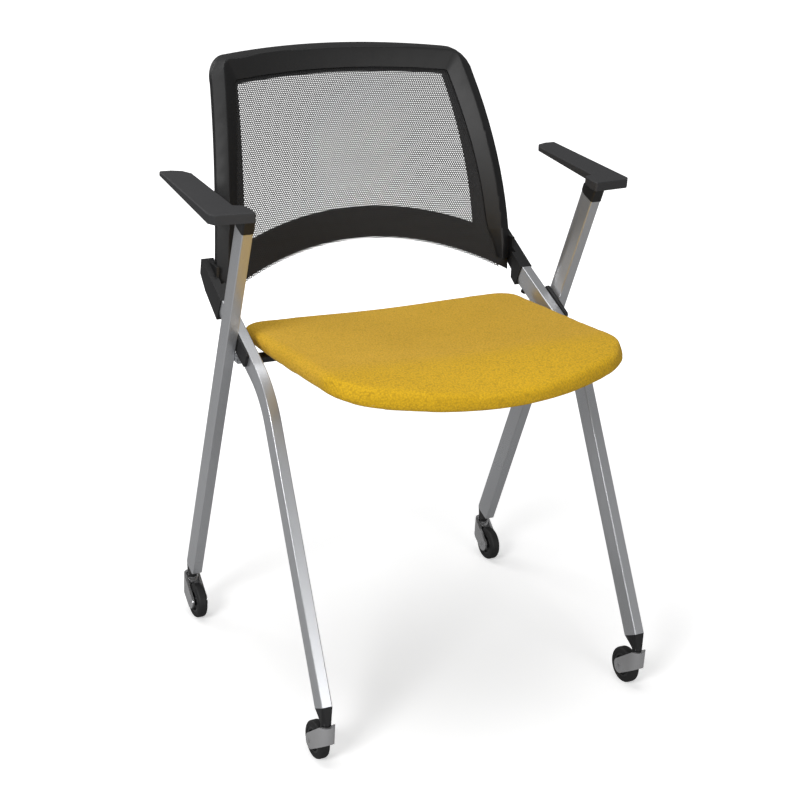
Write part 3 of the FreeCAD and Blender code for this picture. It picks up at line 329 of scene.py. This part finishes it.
@dataclass(frozen=True)
class RibbedPlastic(Finish):
    """Moulded plastic with fine level ribs."""

    pitch: float = 3.2 * MM

    def surface(self, tree: Tree) -> None:
        """Ribs follow the height, over the common grain, with a painted highlight on each crest and painted
        shade in each groove.
        """
        height = tree.parts(tree.place())[2]
        rib = (height * (2 * math.pi / self.pitch)).sine() * 0.5 + 0.5
        grain = tree.noise(self.grain, 3.0)
        # Painted highlight and shade: crests lighter, grooves darker, in step with the rib relief.
        tree.feed(Base_Color=tree.blend(rib, self.shade(0.7), self.shade(1.5)))
        tree.feed(Roughness=self.rough + 0.1 * grain)
        tree.bump(rib + grain * 0.1, 0.0005, 0.7)


@dataclass(frozen=True)
class Plywood(Finish):
    """Beech plies: long soft streaks along the board."""

    def surface(self, tree: Tree) -> None:
        """Streaks stretched along Y."""
        stretched = tree.add("ShaderNodeMapping", {}, {"Vector": tree.place(), "Scale": (14.0, 1.2, 60.0)})
        streak = tree.noise(9.0, 5.0, stretched)
        tree.feed(Base_Color=tree.blend(streak, self.shade(0.75), self.shade(1.15)))
        tree.feed(Roughness=self.rough + 0.1 * streak)
        tree.bump(streak, 0.0001)


TUBE = TubePaint("silver_tube", (0.60, 0.61, 0.63), 0.27, 0.75)
PLASTIC = Finish("black_plastic", (0.0065, 0.0065, 0.007), 0.50, grain=1500.0)
PAD = Finish("arm_pad", (0.030, 0.030, 0.032), 0.6, grain=900.0, depth=0.00008)
CLOTH = SeatCloth("seat_fabric", (0.90, 0.52, 0.008), 0.82)
NET = BackNet("back_mesh", (0.012, 0.012, 0.013), 0.55)
RIBBED = RibbedPlastic("black_plastic_ribbed", (0.010, 0.010, 0.011), 0.45)
WOOD = Plywood("plywood", (0.52, 0.36, 0.20), 0.6)
STEEL = Finish("steel", (0.55, 0.55, 0.56), 0.32, 1.0, 2200.0, 0.00002)
BLACK_STEEL = Finish("black_steel", (0.008, 0.008, 0.009), 0.38, 0.0, 900.0)
FORK = Finish("caster_metal", (0.62, 0.62, 0.63), 0.22, 0.85, 1800.0, 0.00002)
HUB = Finish("hub_plastic", (0.018, 0.018, 0.019), 0.4)
TYRE = Finish("tyre", (0.009, 0.009, 0.0095), 0.62, grain=700.0, depth=0.00008)
RUBBER = Finish("rubber", (0.02, 0.02, 0.02), 0.7)
WHITE = Finish("white_plastic", (0.62, 0.62, 0.6), 0.4)
FINISHES = {finish.slot: finish for finish in
            (TUBE, PLASTIC, PAD, CLOTH, NET, WOOD, STEEL, BLACK_STEEL, FORK, HUB, TYRE, RUBBER, WHITE)}
DARK_SCREWS = ("bar_screws", "tab_screws", "bracket_screws")


class Model:
    """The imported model: its nodes, bodies and material slots."""

    def __init__(self, frame: dict) -> None:
        """Reads which body and slot each node has."""
        self.nodes = frame["nodes"]
        bodies = frame["record"]["behaviour"]["bodies"]
        self.body_of = {node: body for body, nodes in bodies.items() for node in nodes}
        self.slot_of = {part["node"]: part["material_slot"] for part in frame["record"]["subparts"]}

    def dress(self, piece: bpy.types.Object, finish: Finish) -> None:
        """Gives a piece one finish all over."""
        material = finish.material()
        if not piece.material_slots:
            piece.data.materials.append(material)
        for slot in piece.material_slots:
            slot.material = material

    def dress_nodes(self) -> None:
        """Gives every node the finish of its slot, and the back's screws a dark one."""
        for name, node in self.nodes.items():
            self.dress(node, BLACK_STEEL if name in DARK_SCREWS else FINISHES[self.slot_of[name]])

    def copy(self, node: str, name: str) -> bpy.types.Object:
        """A new piece with a merged copy of a node's mesh, selected alone.

        Args:
            node: The node copied.
            name: The piece's name.

        Returns:
            The piece, at the origin.
        """
        piece = bpy.data.objects.new(name, self.nodes[node].data.copy())
        bpy.context.scene.collection.objects.link(piece)
        piece.data.materials.clear()
        select_only(piece)
        bpy.ops.object.mode_set(mode="EDIT")
        bpy.ops.mesh.select_all(action="SELECT")
        bpy.ops.mesh.remove_doubles(threshold=MERGE)
        bpy.ops.object.mode_set(mode="OBJECT")
        return piece

    def stand_for(self, piece: bpy.types.Object, node: str, finish: Finish) -> None:
        """Puts a finished piece in place of a node, on the node's body."""
        self.dress(piece, finish)
        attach(piece, self.body_of[node])
        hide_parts(node)
        LOG.info("%s stands for %s", piece.name, node)


def select_only(piece: bpy.types.Object) -> None:
    """Makes a piece the active and only selected object."""
    bpy.ops.object.select_all(action="DESELECT")
    piece.select_set(True)
    bpy.context.view_layer.objects.active = piece


def apply_modifier(piece: bpy.types.Object, kind: str, **settings: object) -> None:
    """Adds a modifier with its settings and applies it."""
    modifier = piece.modifiers.new(kind.lower(), kind)
    for key, value in settings.items():
        setattr(modifier, key, value)
    bpy.ops.object.modifier_apply(modifier=modifier.name)


@dataclass
class SoftenedShell:
    """A hard piece with its flats joined, its edges eased and its curves smooth, as its fields say."""

    model: Model
    node: str
    finish: Finish
    edge: float = 0.0004
    segments: int = 2
    smooth_angle: float = 38.0
    join_flats: bool = True
    flat_angle: float = 0.6
    bevel_angle: float = 42.0
    face_weight: int = 80

    def build(self) -> bpy.types.Object:
        """Copies the node, eases its edges and takes its place."""
        piece = self.model.copy(self.node, f"{self.node}_shell")
        if self.join_flats:
            bpy.ops.object.mode_set(mode="EDIT")
            bpy.ops.mesh.select_all(action="SELECT")
            bpy.ops.mesh.dissolve_limited(angle_limit=math.radians(self.flat_angle))
            bpy.ops.object.mode_set(mode="OBJECT")
        if self.edge > 0:
            apply_modifier(piece, "BEVEL", width=self.edge, segments=self.segments,
                           limit_method="ANGLE", angle_limit=math.radians(self.bevel_angle),
                           use_clamp_overlap=True)
        bpy.ops.object.shade_smooth_by_angle(angle=math.radians(self.smooth_angle))
        apply_modifier(piece, "WEIGHTED_NORMAL", keep_sharp=True, weight=self.face_weight)
        self.model.stand_for(piece, self.node, self.finish)
        return piece


@dataclass
class SeatCushion:
    """The padded seat: foam under tight cloth."""

    model: Model
    voxel: float = 4.2 * MM
    pressure: float = 2.5
    cap: float = 1.0 * MM
    frames: int = 16
    cloth_quality: int = 5
    smooth_share: float = 0.5
    fill: float = 0.85
    roll_radius: float = 9.2 * MM
    roll_path: tuple[Point, ...] = (
        (-200, 55, 454.0), (-205, 20, 457.0), (-206, -65, 465.0), (-206, -155, 472.0), (-204, -190, 472.5),
        (-194, -211, 471.5), (-176, -226, 468.5), (-151, -238, 466.0), (-100, -255, 462.0),
        (-50, -264, 459.5), (0, -267.5, 458.5))

    def build(self) -> bpy.types.Object:
        """Joins the roll, remeshes the foam, swells its cover as cloth and smooths it."""
        piece = self.model.copy("seat_cushion", "seat_cushion_cover")
        self.add_roll(piece)
        apply_modifier(piece, "REMESH", mode="VOXEL", voxel_size=self.voxel, use_smooth_shade=True)
        apply_modifier(piece, "SMOOTH", factor=self.smooth_share, iterations=1)
        self.swell(piece)
        apply_modifier(piece, "SMOOTH", factor=self.smooth_share, iterations=2)
        apply_modifier(piece, "SUBSURF", levels=1, render_levels=1)
        bpy.ops.object.shade_smooth()
        self.model.stand_for(piece, "seat_cushion", CLOTH)
        return piece

    def add_roll(self, piece: bpy.types.Object) -> None:
        """Joins the foam roll under the front and side edges, where the cover turns under.

        Args:
            piece: The merged copy of the cushion.
        """
        half = [Vector(point) * MM for point in self.roll_path]
        path = half + [Vector((-point.x, point.y, point.z)) for point in reversed(half[:-1])]
        line = bpy.data.curves.new("seat_roll", "CURVE")
        line.dimensions = "3D"
        line.bevel_depth = self.roll_radius
        line.use_fill_caps = True
        spline = line.splines.new("NURBS")
        spline.points.add(len(path) - 1)
        for slot, point in zip(spline.points, path):
            slot.co = (*point, 1.0)
        spline.order_u = 3
        spline.use_endpoint_u = True
        roll = bpy.data.objects.new("seat_roll", line)
        bpy.context.scene.collection.objects.link(roll)
        select_only(roll)
        bpy.ops.object.convert(target="MESH")
        piece.select_set(True)
        bpy.context.view_layer.objects.active = piece
        bpy.ops.object.join()

    def swell(self, piece: bpy.types.Object) -> None:
        """Blows the cover up as cloth, holding each point near its start.

        Args:
            piece: The remeshed cushion, selected alone.
        """
        start = [vertex.co.copy() for vertex in piece.data.vertices]
        cloth = piece.modifiers.new("cover", "CLOTH")
        cloth.settings.use_pressure = True
        cloth.settings.uniform_pressure_force = self.pressure
        cloth.settings.effector_weights.gravity = 0.0
        cloth.settings.quality = self.cloth_quality
        cloth.collision_settings.use_collision = False
        cloth.point_cache.frame_start = 1
        cloth.point_cache.frame_end = self.frames
        for number in range(1, self.frames + 1):
            bpy.context.scene.frame_set(number)
        bpy.ops.object.modifier_apply(modifier=cloth.name)
        bpy.context.scene.frame_set(1)
        for vertex, origin in zip(piece.data.vertices, start):
            move = vertex.co - origin
            if move.length > self.cap:
                vertex.co = origin + move * (self.cap / move.length)


@dataclass
class BackPanel:
    """The net stretched over the ring, on the back's curved surface."""

    model: Model
    shift_y: float
    radius: float = 555 * MM
    upright_z: float = 460 * MM
    front_y: float = 182 * MM
    bow: float = 25 * MM
    bow_half: float = 200 * MM
    depth: float = 13.3 * MM
    side_inset: float = 14 * MM
    top_z: float = 782.4 * MM
    top_fall: float = 6 * MM
    hem_z: float = 541 * MM
    hem_fall: float = 32.5 * MM
    hem_half: float = 170 * MM
    low_z: float = 505 * MM
    corner_z: float = 757 * MM
    low_half: float = 228.8 * MM
    corner_half: float = 200.3 * MM
    side_radius: float = 1900 * MM
    columns: int = 80
    rows: int = 60

    def half_width(self, z: float) -> float:
        """Half of the back's outline at a height."""
        above, below = z - self.low_z, self.corner_z - z
        chord = self.low_half + (self.corner_half - self.low_half) * above / (self.corner_z - self.low_z)
        return chord + above * below / (2 * self.side_radius)

    def on_surface(self, x: float, z: float, depth: float) -> Vector:
        """The point behind the front surface at a depth square to it."""
        high = z - self.upright_z
        fall = math.sqrt(self.radius ** 2 - high ** 2)
        y = self.front_y + self.radius - fall + self.bow * (1 - (x / self.bow_half) ** 2)
        lean = math.hypot(1.0, high / fall, 2 * self.bow * x / self.bow_half ** 2)
        return Vector((x, y + depth * lean + self.shift_y, z))

    def build(self) -> bpy.types.Object:
        bpy.ops.object.select_all(action="DESELECT")
        bpy.ops.mesh.primitive_grid_add(x_subdivisions=self.columns, y_subdivisions=self.rows, size=2.0)
        piece = bpy.context.object
        piece.name = "back_net"
        for vertex in piece.data.vertices:
            vertex.co = self.laid(vertex.co.x, (vertex.co.y + 1) / 2)
        self.map_weave(piece)
        bpy.ops.object.shade_smooth()
        width, length = self.cut_size(piece)
        self.model.stand_for(piece, "back_mesh", NET)
        return piece

    def cut_size(self, piece: bpy.types.Object) -> tuple[float, float]:
        """Width across and length up of the rectangle that the unrolled panel fills.

        Args:
            piece: The panel with its map in metres.

        Returns:
            Width and length in metres.
        """
        marks = [loop.uv for loop in piece.data.uv_layers["weave"].data]
        across, up = [mark[0] for mark in marks], [mark[1] for mark in marks]
        return max(across) - min(across), max(up) - min(up)

    def laid(self, across: float, up: float) -> Vector:
        """A point of the panel from its share across (-1 to 1) and up (0 to 1)."""
        z = self.hem_z
        for _ in range(4):
            x = across * (self.half_width(z) - self.side_inset)
            hem = self.hem_z - self.hem_fall * (x / self.hem_half) ** 2
            top = self.top_z - self.top_fall * (x / self.hem_half) ** 2
            z = hem + (top - hem) * up
        return self.on_surface(x, z, self.depth)

    def map_weave(self, piece: bpy.types.Object) -> None:
        """Unrolls the panel: x across, and the length along the curve up."""
        layer = piece.data.uv_layers.active
        layer.name = "weave"
        for loop in piece.data.loops:
            point = piece.data.vertices[loop.vertex_index].co
            run = self.radius * math.asin((point.z - self.upright_z) / self.radius)
            layer.data[loop.index].uv = (point.x, run)


@dataclass
class Studio:
    """Floor, lamps, world and camera."""

    shift_y: float
    eye: Point = (-1036.08 * MM, -1806.42 * MM, 1224.15 * MM)
    azimuth: float = -28.803
    elevation: float = 22.051
    roll: float = 3.217
    focal_px: float = 1682.40
    picture_px: float = 800.0
    sensor: float = 36.0
    lit_radius: float = 1.3
    floor_size: float = 40.0
    floor_near: float = 0.42
    floor_far: float = 0.6
    world_light: float = 0.13
    metal_share: float = 0.12
    aim: Point = (0.0, 0.0, 0.45)
    lamps: list[tuple[str, Point, float, float]] = field(default_factory=lambda: [
        ("key", (-3.0, -1.9, 2.3), 1.3, 80.0),
        ("fill", (0.5, -3.4, 1.0), 1.3, 26.0),
        ("overhead", (-0.3, 0.2, 3.2), 2.0, 35.0),
        ("rear", (-1.4, 2.6, 2.2), 1.2, 16.0),
    ])

    def build(self) -> None:
        """Sets up everything round the chair."""
        self.camera()
        self.floor()
        self.world()
        for name, place, size, power in self.lamps:
            self.lamp(name, place, size, power)
        bpy.context.scene.view_settings.view_transform = "Standard"

    def camera(self) -> None:
        """Places the camera at the photograph's angle."""
        turn, high, roll = (math.radians(a) for a in (self.azimuth, self.elevation, self.roll))
        back = Vector((math.sin(turn) * math.cos(high), -math.cos(turn) * math.cos(high), math.sin(high)))
        right = Vector((math.cos(turn), math.sin(turn), 0.0))
        up = back.cross(right)
        level = right * math.cos(roll) + up * math.sin(roll)
        tall = up * math.cos(roll) - right * math.sin(roll)
        data = bpy.data.cameras.new("camera")
        data.sensor_width = self.sensor
        data.lens = self.focal_px / self.picture_px * self.sensor
        eye = bpy.data.objects.new("camera", data)
        bpy.context.scene.collection.objects.link(eye)
        axes = Matrix((level, tall, back)).transposed().to_4x4()
        eye.matrix_world = Matrix.Translation(Vector(self.eye) + Vector((0, self.shift_y, 0))) @ axes
        bpy.context.scene.camera = eye

    def floor(self) -> None:
        """A wide pale floor that shows white to the camera and keeps the shadow."""
        bpy.ops.object.select_all(action="DESELECT")
        bpy.ops.mesh.primitive_plane_add(size=self.floor_size)
        plane = bpy.context.object
        plane.name = "floor"
        tree = Tree(bpy.data.materials.new("floor_white"))
        seen = tree.add("ShaderNodeLightPath", {}, {}, "Is Camera Ray")
        east, north, _ = tree.parts(tree.place())
        away = tree.math("MINIMUM", (east * east + north * north) / self.lit_radius ** 2, 1.0)
        tree.feed(Base_Color=tree.blend(seen, (0.45, 0.45, 0.45), (0.90, 0.90, 0.90)))
        tree.feed(Roughness=0.9, Specular_IOR_Level=0.1, Emission_Color=(1.0, 1.0, 1.0))
        tree.plug(tree.shader.inputs["Emission Strength"], seen * (self.floor_near + away * self.floor_far))
        plane.data.materials.append(tree.owner)

    def world(self) -> None:
        """White where the camera or glass sees it, greyer in metal, a soft grey as light."""
        tree = Tree(bpy.data.worlds.new("studio"))
        bpy.context.scene.world = tree.owner
        camera, metal, glass = (tree.add("ShaderNodeLightPath", {}, {}, f"Is {kind} Ray")
                                for kind in ("Camera", "Glossy", "Transmission"))
        seen = tree.math("MAXIMUM", tree.math("MAXIMUM", camera, glass), metal * self.metal_share)
        strength = tree.add("ShaderNodeMix", {}, {0: seen, 2: self.world_light, 3: 1.0})
        tree.feed(Color=(1.0, 1.0, 1.0), Strength=strength)

    def lamp(self, name: str, place: Point, size: float, power: float) -> None:
        """A square soft lamp that faces the seat."""
        data = bpy.data.lights.new(name, "AREA")
        data.size = size
        data.energy = power
        lamp = bpy.data.objects.new(name, data)
        bpy.context.scene.collection.objects.link(lamp)
        aim = (Vector(self.aim) - Vector(place)).to_track_quat("-Z", "Y")
        lamp.matrix_world = Matrix.Translation(place) @ aim.to_matrix().to_4x4()


CURVED_BACK = ("back_bezel", "back_frame", "back_crossbar")
CURVED_SMOOTH_ANGLE = 24.0


class EdgeEase(Enum):
    """How round the edges of each family of hard pieces are, in metres."""

    CRISP = 0.0
    FINE = 0.0003
    MOULDED = 0.0008
    SOFT = 0.0015


def shells(model: Model) -> list[SoftenedShell]:
    """The hard pieces whose edges are eased, with their finishes."""
    sides = ("left", "right")
    corners = [f"{row}_{side}" for row in ("front", "rear") for side in sides]
    plan: list[tuple[str, Finish, EdgeEase]] = [
        ("back_bezel", PLASTIC, EdgeEase.CRISP),
        ("back_frame", PLASTIC, EdgeEase.CRISP),
        ("back_crossbar", RIBBED, EdgeEase.CRISP),
        ("cross_tube", BLACK_STEEL, EdgeEase.CRISP),
        ("seat_shell", PLASTIC, EdgeEase.FINE),
    ]
    for side in sides:
        plan += [
            (f"rear_leg_{side}", TUBE, EdgeEase.CRISP),
            (f"front_leg_{side}", TUBE, EdgeEase.CRISP),
            (f"leg_spacer_{side}", PLASTIC, EdgeEase.MOULDED),
            (f"arm_pad_{side}", PAD, EdgeEase.SOFT),
            (f"arm_bracket_{side}", PLASTIC, EdgeEase.MOULDED),
            (f"back_bracket_{side}", PLASTIC, EdgeEase.SOFT),
            (f"leg_plug_rear_{side}", PLASTIC, EdgeEase.FINE),
            (f"leg_plug_front_{side}", PLASTIC, EdgeEase.FINE),
        ]
    for corner in corners:
        plan += [
            (f"caster_fork_{corner}", FORK, EdgeEase.FINE),
            (f"caster_tyre_{corner}", TYRE, EdgeEase.CRISP),
            (f"caster_hub_{corner}", HUB, EdgeEase.FINE),
        ]
    curved = {"join_flats": False, "smooth_angle": CURVED_SMOOTH_ANGLE}
    return [SoftenedShell(model, node, finish, ease.value, **(curved if node in CURVED_BACK else {}))
            for node, finish, ease in plan]


def main(frame: dict) -> None:
    """Builds the pieces in order.
    """
    logging.basicConfig(level=logging.INFO)
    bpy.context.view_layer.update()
    model = Model(frame)
    shift_y = frame["joints"][0]["pos_m"][1] - HINGE_Y
    Studio(shift_y).build()
    model.dress_nodes()
    SeatCushion(model).build()
    BackPanel(model, shift_y).build()
    for shell in shells(model):
        shell.build()


if __name__ == "__main__":
    main(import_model())
